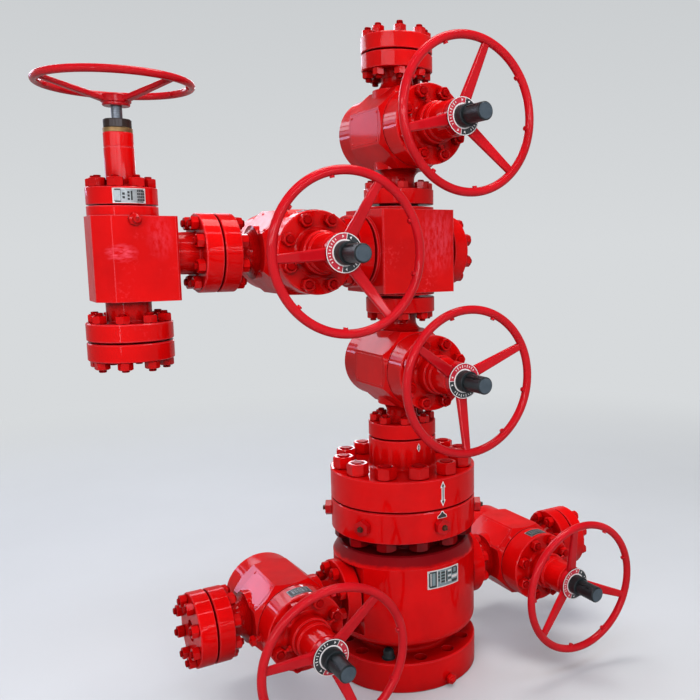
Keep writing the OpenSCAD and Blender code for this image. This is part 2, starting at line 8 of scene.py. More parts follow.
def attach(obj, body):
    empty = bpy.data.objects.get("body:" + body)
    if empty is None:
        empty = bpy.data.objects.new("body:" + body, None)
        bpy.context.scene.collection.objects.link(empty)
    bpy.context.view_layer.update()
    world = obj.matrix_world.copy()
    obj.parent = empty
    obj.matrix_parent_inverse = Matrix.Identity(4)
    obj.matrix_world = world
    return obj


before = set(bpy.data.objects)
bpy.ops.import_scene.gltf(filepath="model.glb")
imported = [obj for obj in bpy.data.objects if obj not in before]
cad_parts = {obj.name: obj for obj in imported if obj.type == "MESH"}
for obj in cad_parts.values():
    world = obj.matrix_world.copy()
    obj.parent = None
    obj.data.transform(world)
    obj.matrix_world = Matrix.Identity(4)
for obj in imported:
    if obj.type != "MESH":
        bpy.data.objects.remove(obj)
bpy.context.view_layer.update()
MM = 0.001


# ---------------------------------------------------------------- sizes of the solids, in millimetres
# Flanges: thickness, stud circle and stud, first the valves', then the tubing head's with the head's height
RUN_T, RUN_BC, RUN_STUD = 58.4, 215.9, 25.4
BIG_T, BIG_BC, BIG_STUD, HEAD_H = 119.0, 482.6, 47.6, 720.0
# A valve from its middle to its flange face, and the gap between the rims of two flanges
HALF_FF, RIM_GAP = 276.5, 6.0
ADAPTER_NECK = 117.0
# The cross block: its height, half its width and its round pads
BLOCK_H, BLOCK_HALF, PAD = 312.5, 155.0, 21.0
# The choke: its arm to the wing line, its block above and below the arm, and the rest of the stack on it
CHOKE_ARM, CHOKE_HEAD, CHOKE_LEG, CHOKE_NECK = 284.6, 120.0, 151.0, 68.0
CHOKE_COLLAR, CHOKE_SEAL, CHOKE_BONNET_H = 31.0, 3.6, 55.0
CHOKE_R, CHOKE_FRONT = 109.0, 113.0
OUTLET_FACE_X, OUTLET_Z = 256.0, 357.0
BONNET_Y1, HUB_Y1 = 245.0, 452.0

# Places that follow from them: up the stack, then out along the two lines
ADAPTER_Z = HEAD_H + RIM_GAP
ADAPTER_TOP = ADAPTER_Z + BIG_T + ADAPTER_NECK
MASTER_Z = ADAPTER_TOP + RIM_GAP + HALF_FF
BLOCK_Z0 = MASTER_Z + HALF_FF + PAD
BLOCK_Z1 = BLOCK_Z0 + BLOCK_H
WING_Z = (BLOCK_Z0 + BLOCK_Z1)/2
SWAB_Z = BLOCK_Z1 + PAD + HALF_FF
CAP_Z = SWAB_Z + HALF_FF + RIM_GAP
PAD_X = BLOCK_HALF + PAD
WING_X = -(PAD_X + HALF_FF)
CHOKE_RIM_X = WING_X - HALF_FF - RIM_GAP
CHOKE_X = CHOKE_RIM_X - CHOKE_ARM
CHOKE_TOP = WING_Z + CHOKE_HEAD
CHOKE_BONNET_Z = CHOKE_TOP + CHOKE_COLLAR + CHOKE_SEAL
CHOKE_TUBE_Z = CHOKE_BONNET_Z + CHOKE_BONNET_H
CHOKE_OUT_Z = WING_Z - CHOKE_LEG - CHOKE_NECK - RUN_T
ANNULUS_X = OUTLET_FACE_X + RIM_GAP + HALF_FF
ANNULUS_FX = ANNULUS_X + HALF_FF + RIM_GAP
# Each valve's middle in X and Z, and whether its run lies along X
VALVES = {"master": (0.0, MASTER_Z, False), "swab": (0.0, SWAB_Z, False), "wing": (WING_X, WING_Z, True),
          "left_annulus": (-ANNULUS_X, OUTLET_Z, True), "right_annulus": (ANNULUS_X, OUTLET_Z, True)}


# ---------------------------------------------------------------- node helpers
def new_mat(name):
    """A material with a principled shader, its node tree and that shader."""
    m = bpy.data.materials.new(name)
    m.use_nodes = True
    t = m.node_tree
    t.nodes.clear()
    out = t.nodes.new("ShaderNodeOutputMaterial")
    b = t.nodes.new("ShaderNodeBsdfPrincipled")
    t.links.new(b.outputs[0], out.inputs[0])
    return m, t, b


def add(t, kind, **kw):
    """A new node with its properties set."""
    n = t.nodes.new(kind)
    for k, v in kw.items():
        setattr(n, k, v)
    return n


def noise(t, co, scale, detail=3.0, rough=0.55):
    """Noise from 0 to 1 at the coordinates given."""
    n = add(t, "ShaderNodeTexNoise")
    n.inputs["Scale"].default_value = scale
    n.inputs["Detail"].default_value = detail
    n.inputs["Roughness"].default_value = rough
    t.links.new(co, n.inputs["Vector"])
    return n.outputs["Fac"]


def ramp(t, fac, stops):
    """Colours over a value, from (position, colour) stops in order."""
    n = add(t, "ShaderNodeValToRGB")
    cr = n.color_ramp
    cr.elements[0].position, cr.elements[0].color = stops[0][0], stops[0][1]
    cr.elements[1].position, cr.elements[1].color = stops[-1][0], stops[-1][1]
    for p, c in stops[1:-1]:
        e = cr.elements.new(p)
        e.color = c
    t.links.new(fac, n.inputs["Fac"])
    return n.outputs["Color"]


def grey(v):
    return (v, v, v, 1.0)


def mix(t, fac, a, b, mode="MIX"):
    """Blends b over a; each input is a number, a colour or a socket."""
    n = add(t, "ShaderNodeMix", data_type="RGBA", blend_type=mode)
    for sock, val in ((n.inputs[0], fac), (n.inputs[6], a), (n.inputs[7], b)):
        if isinstance(val, (int, float, tuple)):
            sock.default_value = val
        else:
            t.links.new(val, sock)
    return n.outputs[2]


def math_node(t, op, a, b=0.0):
    """A sum or the like of two numbers or sockets."""
    n = add(t, "ShaderNodeMath", operation=op)
    for i, val in enumerate((a, b)):
        if isinstance(val, (int, float)):
            n.inputs[i].default_value = val
        else:
            t.links.new(val, n.inputs[i])
    return n.outputs[0]


def bump(t, height, strength, distance, normal=None):
    """A normal disturbed by a height, over another normal."""
    n = add(t, "ShaderNodeBump")
    n.inputs["Strength"].default_value = strength
    n.inputs["Distance"].default_value = distance
    t.links.new(height, n.inputs["Height"])
    if normal is not None:
        t.links.new(normal, n.inputs["Normal"])
    return n.outputs["Normal"]


def rounded(t, radius):
    """A normal that rounds sharp edges to a radius."""
    n = add(t, "ShaderNodeBevel")
    n.samples = 4
    n.inputs["Radius"].default_value = radius
    return n.outputs["Normal"]


def height_band(t, co, stops):
    """Grey by height, in metres over 1 m, with an uneven edge."""
    split = add(t, "ShaderNodeSeparateXYZ")
    t.links.new(co, split.inputs[0])
    uneven = math_node(t, "MULTIPLY", math_node(t, "SUBTRACT", noise(t, co, 16.0, 4.0), 0.5), 0.03)
    return ramp(t, math_node(t, "ADD", split.outputs["Z"], uneven), [(z, grey(v)) for z, v in stops])


def inside(t, co, at, size):
    """1 well inside an ellipsoid about a point, falling to 0 at its surface."""
    local = add(t, "ShaderNodeMapping", vector_type="TEXTURE")
    local.inputs["Location"].default_value = at
    local.inputs["Scale"].default_value = size
    t.links.new(co, local.inputs["Vector"])
    away = add(t, "ShaderNodeVectorMath", operation="LENGTH")
    t.links.new(local.outputs[0], away.inputs[0])
    return ramp(t, away.outputs["Value"], [(0.35, grey(1.0)), (1.0, grey(0.0))])


# What shows through or on the red: fine rubbing; smears that are partly rubbed paint and partly painted reflection; a
# painted highlight along edges; and painted shade, in a dark band by height and in corners
RUBBED, SMEAR_AND_SHEEN = (0.80, 0.055, 0.070, 1), (0.80, 0.070, 0.105, 1)
EDGE_HIGHLIGHT, PAINTED_SHADE = (0.86, 0.16, 0.19, 1), (0.080, 0.0030, 0.0060, 1)
# Painted shade in corners: its darkest grey, and how much of the colour it darkens
CORNER_SHADE, SHADE_SHARE = 0.22, 0.80


def paint(name, base, shade, orange=0.0004, cast=0.0, rough=0.34, edge=0.0018, coat=0.22, scuff=0.0, reach=0.11,
          shade_band=None, worn=(), rim=0.0):
    """Brushed and sprayed enamel: a slightly uneven gloss, orange peel, and casting waviness under it.

    orange and cast are heights in metres, edge the radius that edges look rounded to, reach how far the painted
    shade in corners reaches. scuff adds fine rubbing, worn pale smears as (place, half sizes, stretch, amount),
    partly rubbed paint and partly painted reflection, rim a painted highlight along the edges, and shade_band a
    band of painted shade as (height, amount) stops.
    """
    m, t, b = new_mat(name)
    co = add(t, "ShaderNodeTexCoord").outputs["Object"]
    broad = noise(t, co, 5.0, 4.0)
    colour = ramp(t, broad, [(0.34, shade), (0.62, base)])
    if scuff:
        where = ramp(t, noise(t, co, 8.0, 2.0), [(0.50, grey(0.0)), (0.64, grey(scuff))])
        rubbed = ramp(t, noise(t, co, 70.0, 5.0, 0.7), [(0.52, grey(0.0)), (0.66, grey(1.0))])
        colour = mix(t, math_node(t, "MULTIPLY", rubbed, where), colour, RUBBED)
    # Pale smears at the places listed, partly rubbed paint and partly painted reflection
    for at, size, stretch, amount in worn:
        strokes = add(t, "ShaderNodeMapping")
        strokes.inputs["Scale"].default_value = stretch
        t.links.new(co, strokes.inputs["Vector"])
        smear_and_sheen = ramp(t, noise(t, strokes.outputs[0], 34.0, 4.0, 0.65), [(0.40, grey(0.0)), (0.62, grey(amount))])
        colour = mix(t, math_node(t, "MULTIPLY", smear_and_sheen, inside(t, co, at, size)), colour, SMEAR_AND_SHEEN)
    soft = rounded(t, edge)
    # Painted highlight: a pale line along the rounded edges, where light would catch them
    if rim:
        bend = add(t, "ShaderNodeVectorMath", operation="DOT_PRODUCT")
        t.links.new(soft, bend.inputs[0])
        t.links.new(add(t, "ShaderNodeNewGeometry").outputs["Normal"], bend.inputs[1])
        line = ramp(t, bend.outputs["Value"], [(0.90, grey(rim)), (0.98, grey(0.0))])
        colour = mix(t, line, colour, EDGE_HIGHLIGHT)
    # Painted shade: a dark band over the heights given
    if shade_band:
        colour = mix(t, height_band(t, co, shade_band), colour, PAINTED_SHADE)
    # Painted shade: the colour darkens in corners and recesses, where less light reaches
    ao = add(t, "ShaderNodeAmbientOcclusion")
    ao.samples = 4
    ao.inputs["Distance"].default_value = reach
    painted_corner_shade = ramp(t, ao.outputs["AO"], [(0.22, grey(CORNER_SHADE)), (0.80, grey(1.0))])
    colour = mix(t, SHADE_SHARE, colour, painted_corner_shade, "MULTIPLY")
    t.links.new(colour, b.inputs["Base Color"])
    gloss = ramp(t, noise(t, co, 23.0, 3.0), [(0.3, grey(rough)), (0.75, grey(rough + 0.16))])
    t.links.new(gloss, b.inputs["Roughness"])
    n = bump(t, noise(t, co, 260.0, 2.0), 0.35, orange, soft)
    n = bump(t, noise(t, co, 14.0, 3.0), 0.30, 0.0016, n)
    if cast:
        n = bump(t, noise(t, co, 120.0, 4.0, 0.7), 0.5, cast, n)
    t.links.new(n, b.inputs["Normal"])
    b.inputs["Specular IOR Level"].default_value = 0.01
    b.inputs["Coat Weight"].default_value = coat
    b.inputs["Coat Roughness"].default_value = 0.06
    b.inputs["IOR"].default_value = 1.5
    return m


def metal(name, base, dark, rough, turned=False):
    """Bare metal with dark spots, with lines round Z where it is turned."""
    m, t, b = new_mat(name)
    co = add(t, "ShaderNodeTexCoord").outputs["Object"]
    stretch = add(t, "ShaderNodeMapping")
    stretch.inputs["Scale"].default_value = (1.0, 1.0, 60.0) if turned else (1.0, 1.0, 1.0)
    t.links.new(co, stretch.inputs["Vector"])
    lines = noise(t, stretch.outputs[0], 12.0, 4.0)
    spots = noise(t, co, 90.0, 5.0, 0.7)
    colour = ramp(t, lines, [(0.3, dark), (0.7, base)])
    colour = mix(t, ramp(t, spots, [(0.5, grey(0.0)), (0.72, grey(0.6))]), colour, dark)
    t.links.new(colour, b.inputs["Base Color"])
    b.inputs["Metallic"].default_value = 1.0
    t.links.new(ramp(t, spots, [(0.3, grey(rough)), (0.8, grey(rough + 0.22))]), b.inputs["Roughness"])
    t.links.new(bump(t, lines, 0.25, 0.0003, rounded(t, 0.0008)), b.inputs["Normal"])
    return m


def plastic(name, base, worn, rough, specular):
    """Moulded plastic with a fine grain, rubbed paler along its length."""
    m, t, b = new_mat(name)
    co = add(t, "ShaderNodeTexCoord").outputs["Object"]
    colour = ramp(t, noise(t, co, 30.0, 5.0, 0.65), [(0.40, base), (0.72, worn)])
    t.links.new(colour, b.inputs["Base Color"])
    t.links.new(ramp(t, noise(t, co, 60.0, 3.0), [(0.3, grey(rough)), (0.8, grey(rough + 0.15))]), b.inputs["Roughness"])
    t.links.new(bump(t, noise(t, co, 700.0, 2.0), 0.4, 0.0004, rounded(t, 0.0012)), b.inputs["Normal"])
    b.inputs["Specular IOR Level"].default_value = specular
    return m


def enamel(name, base, rough=0.35):
    """Flat printed colour, a little uneven."""
    m, t, b = new_mat(name)
    co = add(t, "ShaderNodeTexCoord").outputs["Object"]
    dim = tuple(c*0.86 for c in base[:3]) + (1.0,)
    t.links.new(ramp(t, noise(t, co, 60.0, 4.0), [(0.35, dim), (0.6, base)]), b.inputs["Base Color"])
    t.links.new(ramp(t, noise(t, co, 150.0, 3.0), [(0.3, grey(rough)), (0.8, grey(rough + 0.2))]), b.inputs["Roughness"])
    return m


RED = paint("red_enamel", (0.68, 0.0020, 0.0022, 1), (0.55, 0.0014, 0.0016, 1), edge=0.0026, rim=0.42)
# Pale patches: one of rubbed paint on the choke's front face, one on its upper right that is a painted reflection, and
# one on the cross block's face that is partly rubbed paint and partly painted reflection
BLOCK_WEAR_AND_SHEEN = [((CHOKE_X*MM - 0.036, -0.113, WING_Z*MM + 0.004), (0.056, 0.05, 0.033), (0.9, 1.0, 3.2), 0.95),
              ((CHOKE_X*MM + 0.086, -0.113, WING_Z*MM + 0.056), (0.050, 0.05, 0.085), (2.4, 1.0, 1.1), 0.28),
              ((0.075, -0.155, WING_Z*MM + 0.045), (0.100, 0.06, 0.150), (2.6, 1.0, 0.9), 0.52)]
RED_BLOCK = paint("red_block", (0.70, 0.0024, 0.0024, 1), (0.57, 0.0016, 0.0018, 1), edge=0.004, scuff=0.42,
                  rim=0.55, worn=BLOCK_WEAR_AND_SHEEN)
RED_CAST = paint("red_cast", (0.65, 0.0018, 0.0022, 1), (0.49, 0.0012, 0.0016, 1), cast=0.0004, rough=0.38,
                 coat=0.19, edge=0.0024, rim=0.34)
# Painted shade: the drum's shoulder and the upper neck, under the head's flange, are darkened
SHOULDER_SHADE = [(0.500, 0.0), (0.512, 0.72), (0.590, 0.85), (0.603, 0.0)]
RED_SPOOL = paint("red_spool", (0.66, 0.0018, 0.0022, 1), (0.50, 0.0012, 0.0016, 1), cast=0.0004, rough=0.38,
                  edge=0.0026, rim=0.42, shade_band=SHOULDER_SHADE)
RED_WHEEL = paint("red_wheel", (0.56, 0.0060, 0.0120, 1), (0.44, 0.0040, 0.0080, 1), rough=0.36, edge=0.001,
                  coat=0.30, reach=0.05)
RED_NUT = paint("red_nut", (0.60, 0.0022, 0.0028, 1), (0.42, 0.0014, 0.0018, 1), orange=0.0005, edge=0.0012,
                coat=0.28, reach=0.05)
RED_STUD = paint("red_stud", (0.42, 0.0022, 0.0030, 1), (0.27, 0.0016, 0.0022, 1), rough=0.6, edge=0.0008,
                 coat=0.03, reach=0.05)
# Painted shade: a darker copy of the nuts' red, for the head's lower nuts that sit in shade under its flange
RED_SHADED = paint("red_shaded", (0.24, 0.0024, 0.0040, 1), (0.060, 0.0020, 0.0030, 1), rough=0.5, edge=0.0012)
BLACK = paint("black_paint", (0.034, 0.021, 0.018, 1), (0.014, 0.009, 0.008, 1), rough=0.40, edge=0.001)
GUARD = plastic("guard_plastic", (0.006, 0.009, 0.010, 1), (0.013, 0.018, 0.020, 1), 0.40, 0.28)
GUARD_END = plastic("guard_end", (0.036, 0.052, 0.066, 1), (0.062, 0.082, 0.098, 1), 0.48, 0.4)
STEEL = metal("steel_stem", (0.22, 0.24, 0.27, 1), (0.09, 0.10, 0.11, 1), 0.34, turned=True)
BRASS = metal("brass_ring", (0.44, 0.28, 0.11, 1), (0.19, 0.11, 0.05, 1), 0.42, turned=True)
PLATE = metal("plate_metal", (0.40, 0.42, 0.42, 1), (0.24, 0.26, 0.26, 1), 0.36)
FRAME = enamel("plate_frame", (0.66, 0.60, 0.58, 1), 0.4)
PANEL = enamel("plate_panel", (0.17, 0.235, 0.245, 1), 0.4)
WHITE = enamel("dial_white", (0.80, 0.76, 0.74, 1))
DIAL_RED = enamel("dial_red", (0.50, 0.012, 0.03, 1))
DIAL_BLACK = enamel("dial_black", (0.012, 0.016, 0.018, 1))
INK = enamel("plate_ink", (0.018, 0.020, 0.018, 1), 0.5)


# How far from the head's middle the screws' gland nuts reach, in metres
GLAND_REACH = 0.3186


def screw_paint():
    """Red gland nuts round the head, and beyond them the screws' own bare, rusty brown ends."""
    m, t, b = new_mat("screw_paint")
    co = add(t, "ShaderNodeTexCoord").outputs["Object"]
    flat = add(t, "ShaderNodeVectorMath", operation="MULTIPLY")
    flat.inputs[1].default_value = (1.0, 1.0, 0.0)
    t.links.new(co, flat.inputs[0])
    away = add(t, "ShaderNodeVectorMath", operation="LENGTH")
    t.links.new(flat.outputs[0], away.inputs[0])
    beyond = math_node(t, "GREATER_THAN", away.outputs["Value"], GLAND_REACH)
    red = ramp(t, noise(t, co, 30.0, 4.0), [(0.34, (0.30, 0.0016, 0.0030, 1)), (0.62, (0.52, 0.0022, 0.0040, 1))])
    rust = ramp(t, noise(t, co, 120.0, 5.0, 0.7), [(0.40, (0.030, 0.010, 0.006, 1)), (0.66, (0.13, 0.035, 0.018, 1))])
    t.links.new(mix(t, beyond, red, rust), b.inputs["Base Color"])
    t.links.new(ramp(t, noise(t, co, 60.0, 3.0), [(0.3, grey(0.34)), (0.75, grey(0.55))]), b.inputs["Roughness"])
    t.links.new(bump(t, noise(t, co, 260.0, 2.0), 0.35, 0.0005, rounded(t, 0.0012)), b.inputs["Normal"])
    b.inputs["Specular IOR Level"].default_value = 0.1
    b.inputs["Coat Weight"].default_value = 0.22
    b.inputs["Coat Roughness"].default_value = 0.1
    return m


SCREW = screw_paint()

node_mat = {}
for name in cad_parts:
    if name.endswith("_handwheel"):
        node_mat[name] = RED_WHEEL
    elif name.endswith("_stem_guard"):
        node_mat[name] = GUARD
    elif name.endswith("_valve_body"):
        node_mat[name] = RED_CAST
    elif name == "tubing_head_spool":
        node_mat[name] = RED_SPOOL
    elif name in ("choke_body", "cross_block"):
        node_mat[name] = RED_BLOCK
    else:
        node_mat[name] = RED
node_mat.update({"choke_stem": STEEL, "choke_brass_ring": BRASS, "choke_lock_collar": BLACK,
                 "tie_down_screws": SCREW})
for name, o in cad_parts.items():
    o.data.materials.clear()
    o.data.materials.append(node_mat[name])


# ---------------------------------------------------------------- mesh building, in millimetres
def axis_frame(at, towards, spin=0.0):
    """A frame at a point whose Z looks along towards."""
    z = Vector(towards).normalized()
    x = Vector((0, 0, 1)).cross(z)
    if x.length < 1e-4:
        x = Vector((1, 0, 0))
    x.normalize()
    y = z.cross(x)
    m = Matrix((x, y, z)).transposed().to_4x4()
    m.translation = Vector(at)
    return m @ Matrix.Rotation(math.radians(spin), 4, "Z")


class Shape:
    """A mesh in the making: points, faces and each face's material, in millimetres."""
    def __init__(self):
        self.v, self.f, self.m = [], [], []

    def put(self, M, verts, faces, mat=0):
        """Adds points in the frame M, and faces between them."""
        k = len(self.v)
        self.v += [M @ Vector(p) for p in verts]
        self.f += [tuple(k + i for i in f) for f in faces]
        self.m += [mat]*len(faces)

    def rings(self, M, loops, mat=0, cap0=True, cap1=True):
        """Skins a list of closed loops that have the same number of points."""
        n = len(loops[0])
        verts = [p for loop in loops for p in loop]
        faces = []
        for r in range(len(loops) - 1):
            for i in range(n):
                j = (i + 1) % n
                faces.append((r*n + i, r*n + j, (r + 1)*n + j, (r + 1)*n + i))
        if cap0:
            faces.append(tuple(reversed(range(n))))
        if cap1:
            faces.append(tuple(range((len(loops) - 1)*n, len(loops)*n)))
        self.put(M, verts, faces, mat)

    def lathe(self, M, profile, n=24, mat=0, cap0=True, cap1=True):
        """Turns a profile of (radius, z) round Z."""
        loops = [[(r*math.cos(2*math.pi*i/n), r*math.sin(2*math.pi*i/n), z) for i in range(n)] for r, z in profile]
        self.rings(M, loops, mat, cap0, cap1)

    def nut(self, M, af, h, n=24, hole=0.0):
        """A heavy hexagon nut with chamfered corners, standing on z = 0, countersunk round its hole."""
        rc = af/2*0.94
        radius = [af/2/math.cos(math.radians((360*i/n + 30) % 60 - 30)) for i in range(n)]
        cut = [(r - rc)*0.6 for r in radius]

        def loop(radii, z):
            return [(radii[i]*math.cos(2*math.pi*i/n), radii[i]*math.sin(2*math.pi*i/n), z[i]) for i in range(n)]
        loops = [loop([rc]*n, [0.0]*n), loop(radius, cut), loop(radius, [h - c for c in cut]), loop([rc]*n, [h]*n)]
        if hole:
            loops += [loop([hole/2 + 0.07*af]*n, [h]*n), loop([hole/2 - 1.6]*n, [h - 0.06*af]*n)]
        self.rings(M, loops)

    def thread(self, M, d, z0, z1, pitch=3.2, n=20, mat=0):
        """A stud's end: shallow thread ridges and a bevelled tip."""
        r = d/2
        prof = [(r - 1.4, z0)]
        z = z0
        while z + pitch < z1 - 1.6:
            prof += [(r, z + pitch*0.30), (r, z + pitch*0.45), (r - 1.4, z + pitch*0.85), (r - 1.4, z + pitch)]
            z += pitch
        prof += [(r - 0.3, z1 - 2.2), (r - 2.4, z1)]
        self.lathe(M, prof, n, mat, cap0=False)

    def object(self, name, mats, body, sharp=32.0):
        """Makes the mesh an object in metres that rides on a body; edges past the sharp angle aren't smoothed."""
        me = bpy.data.meshes.new(name)
        me.from_pydata([tuple(p*MM) for p in self.v], [], self.f)
        me.polygons.foreach_set("material_index", self.m)
        for m in mats:
            me.materials.append(m)
        me.update()
        me.validate()
        me.shade_smooth()
        me.set_sharp_from_angle(angle=math.radians(sharp))
        o = bpy.data.objects.new(name, me)
        bpy.context.scene.collection.objects.link(o)
        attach(o, body)
        return o


def turned_by(i, salt=0):
    """A fixed, uneven spin for the i-th nut, so that their flats don't line up."""
    return (i*137.508 + salt*61.0) % 60.0


def stud_circle(shape, M, count, bc, d, af, nut_h, out, salt=0):
    """Nuts with stud ends on a circle; M's z = 0 is the face that they stand on."""
    for i in range(count):
        a = 180.0/count + 360.0*i/count
        P = M @ Matrix.Rotation(math.radians(a), 4, "Z") @ Matrix.Translation((bc/2, 0, 0))
        P = P @ Matrix.Rotation(math.radians(turned_by(i, salt)), 4, "Z")
        wob = 1.0 + 0.18*math.sin(i*2.3 + salt)
        shape.nut(P, af, nut_h, hole=d)
        shape.thread(P, d, nut_h - 0.08*af, nut_h + out*wob, mat=1)


UP, DOWN = (0, 0, 1), (0, 0, -1)
# Nuts across their flats and their heights: the valves', the tubing head's upper and lower rows, and the choke
# bonnet's, then the stud circle of the valves' bonnets, and the angle past which a nut's edges aren't smoothed
NUT_AF, NUT_H, STUD_OUT = 41.3, 25.4, 8.0
HEAD_AF, HEAD_NUT_H, HEAD_LOWER_H = 74.6, 47.6, 38.0
CHOKE_BC, CHOKE_STUD, CHOKE_AF, CHOKE_NUT_H = 166.0, 24.0, 46.0, 29.0
BONNET_BC = 232.0
CRISP = 26.0


def small_nuts(name, places, out=STUD_OUT):
    """The nuts and stud ends of one or more of the valves' flanges."""
    s = Shape()
    for k, (at, to) in enumerate(places):
        stud_circle(s, axis_frame(at, to), 8, RUN_BC, RUN_STUD, NUT_AF, NUT_H, out, salt=k + len(name))
    return s.object(name, [RED_NUT, RED_STUD], "tree", sharp=CRISP)


T = RUN_T
small_nuts("cap_studs", [((0, 0, CAP_Z + T), UP), ((0, 0, SWAB_Z + HALF_FF - T), DOWN)], 12.0)
small_nuts("swab_lower_nuts", [((0, 0, SWAB_Z - HALF_FF + T), UP)])
small_nuts("master_nuts", [((0, 0, MASTER_Z + HALF_FF - T), DOWN),
                           ((0, 0, MASTER_Z - HALF_FF + T), UP)])
small_nuts("blind_flange_nuts", [((PAD_X + T, 0, WING_Z), (1, 0, 0))])
small_nuts("wing_nuts", [((WING_X + HALF_FF - T, 0, WING_Z), (-1, 0, 0)),
                         ((WING_X - HALF_FF + T, 0, WING_Z), (1, 0, 0)),
                         ((CHOKE_RIM_X - T, 0, WING_Z), (-1, 0, 0))])
small_nuts("choke_outlet_studs", [((CHOKE_X, 0, CHOKE_OUT_Z + T), UP),
                                  ((CHOKE_X, 0, CHOKE_OUT_Z - RIM_GAP - T), DOWN)])
for side, sx in (("left", -1), ("right", 1)):
    small_nuts(f"{side}_annulus_nuts", [
        ((sx*(ANNULUS_X - HALF_FF + T), 0, OUTLET_Z), (sx, 0, 0)),
        ((sx*(ANNULUS_X + HALF_FF - T), 0, OUTLET_Z), (-sx, 0, 0)),
        ((sx*(ANNULUS_FX + T), 0, OUTLET_Z), (sx, 0, 0))])

s = Shape()
stud_circle(s, axis_frame((0, 0, ADAPTER_Z + BIG_T), UP), 12, BIG_BC, BIG_STUD, HEAD_AF, HEAD_NUT_H, 4.0, salt=3)
s.object("head_studs", [RED_NUT, RED_STUD], "tree", sharp=CRISP)

# The head's lower nuts, in the darker red of painted shade
s = Shape()
stud_circle(s, axis_frame((0, 0, HEAD_H - BIG_T), DOWN), 12, BIG_BC, BIG_STUD, HEAD_AF, HEAD_LOWER_H, 3.0, salt=5)
s.object("head_lower_nuts", [RED_SHADED, RED_SHADED], "tree")

s = Shape()
stud_circle(s, axis_frame((CHOKE_X, 0, CHOKE_TUBE_Z), UP), 8, CHOKE_BC, CHOKE_STUD, CHOKE_AF, CHOKE_NUT_H, STUD_OUT,
            salt=7)
s.object("choke_bonnet_nuts", [RED_NUT, RED_STUD], "tree", sharp=CRISP)

for k, (v, (cx, cz, _)) in enumerate(VALVES.items()):
    s = Shape()
    stud_circle(s, axis_frame((cx, -BONNET_Y1, cz), (0, -1, 0)), 8, BONNET_BC, RUN_STUD, NUT_AF, NUT_H, 7.0, salt=11 + k)
    s.object(f"{v}_bonnet_nuts", [RED_NUT, RED_STUD], "tree", sharp=CRISP)


# ---------------------------------------------------------------- dials on the wheel hubs
def sector(shape, M, r0, r1, a0, a1, z0, z1, mat, n):
    """A solid slice of a ring round Z, between two angles."""
    verts, faces = [], []
    for i in range(n + 1):
        a = math.radians(a0 + (a1 - a0)*i/n)
        c, d = math.cos(a), math.sin(a)
        verts += [(r0*c, r0*d, z0), (r1*c, r1*d, z0), (r1*c, r1*d, z1), (r0*c, r0*d, z1)]
    for i in range(n):
        k = 4*i
        for j in range(4):
            j2 = (j + 1) % 4
            faces.append((k + j, k + 4 + j, k + 4 + j2, k + j2))
    faces.append((0, 1, 2, 3))
    faces.append((4*n + 3, 4*n + 2, 4*n + 1, 4*n))
    shape.put(M, verts, faces, mat)


# Radii: the inner white ring, the printed band's edges, the outer white ring
DIAL_IN, BAND_IN, BAND_OUT, DIAL_OUT = 38.4, 43.2, 61.2, 63.8


def dial(v, cx, cz, red_from):
    """A printed ring: red and black halves with plain ticks and arrows between two white rings."""
    s = Shape()
    # local Z along -Y, local X along +X, angles counted as seen from the front
    M = Matrix.Translation((cx, -(HUB_Y1 + 2.5), cz)) @ Matrix.Rotation(math.radians(90), 4, "X")
    sector(s, M, BAND_OUT, DIAL_OUT, 0, 360, 0, 0.9, 0, 96)
    sector(s, M, DIAL_IN, BAND_IN, 0, 360, 0, 0.9, 0, 96)
    sector(s, M, BAND_IN, BAND_OUT, red_from, red_from + 180, 0, 0.5, 1, 48)
    sector(s, M, BAND_IN, BAND_OUT, red_from + 180, red_from + 360, 0, 0.5, 2, 48)
    for a in (0, 180):
        sector(s, M, BAND_IN, BAND_OUT, red_from + a - 1.0, red_from + a + 1.0, 0, 0.8, 0, 1)
    for half in (0, 180):
        for i in range(9):
            a = red_from + half + 46 + i*11
            r0, r1 = (47.5, 58.0) if i % 2 else (49.5, 55.5)
            sector(s, M, r0, r1, a - 1.6, a + 1.6, 0, 0.75, 0, 1)
        for a, d in ((18, 1), (162, -1)):
            R = Matrix.Rotation(math.radians(red_from + half + a), 4, "Z")
            arrow = [(47.5, 0, 0.75), (57.5, 0, 0.75), (52.5, -7.0*d, 0.75)]
            s.put(M @ R, arrow, [(0, 2, 1) if d > 0 else (0, 1, 2)], 0)
    s.object(f"{v}_dial", [WHITE, DIAL_RED, DIAL_BLACK], f"{v}_wheel")


for v, a in (("master", -3), ("swab", 80), ("wing", 80), ("left_annulus", 238), ("right_annulus", 68)):
    dial(v, VALVES[v][0], VALVES[v][1], a)


# ---------------------------------------------------------------- stem guard ends
GUARD_LENGTH = 134.0
for v, (cx, cz, _) in VALVES.items():
    s = Shape()
    M = axis_frame((cx, -(HUB_Y1 + GUARD_LENGTH), cz), (0, -1, 0))
    s.lathe(M, [(26.2, -0.5), (26.2, 0.5), (25.4, 0.9), (22.0, 0.9), (21.5, 0.4), (0.01, 0.4)], 48,
            cap0=False, cap1=False)
    s.object(f"{v}_guard_end", [GUARD_END], f"{v}_wheel")


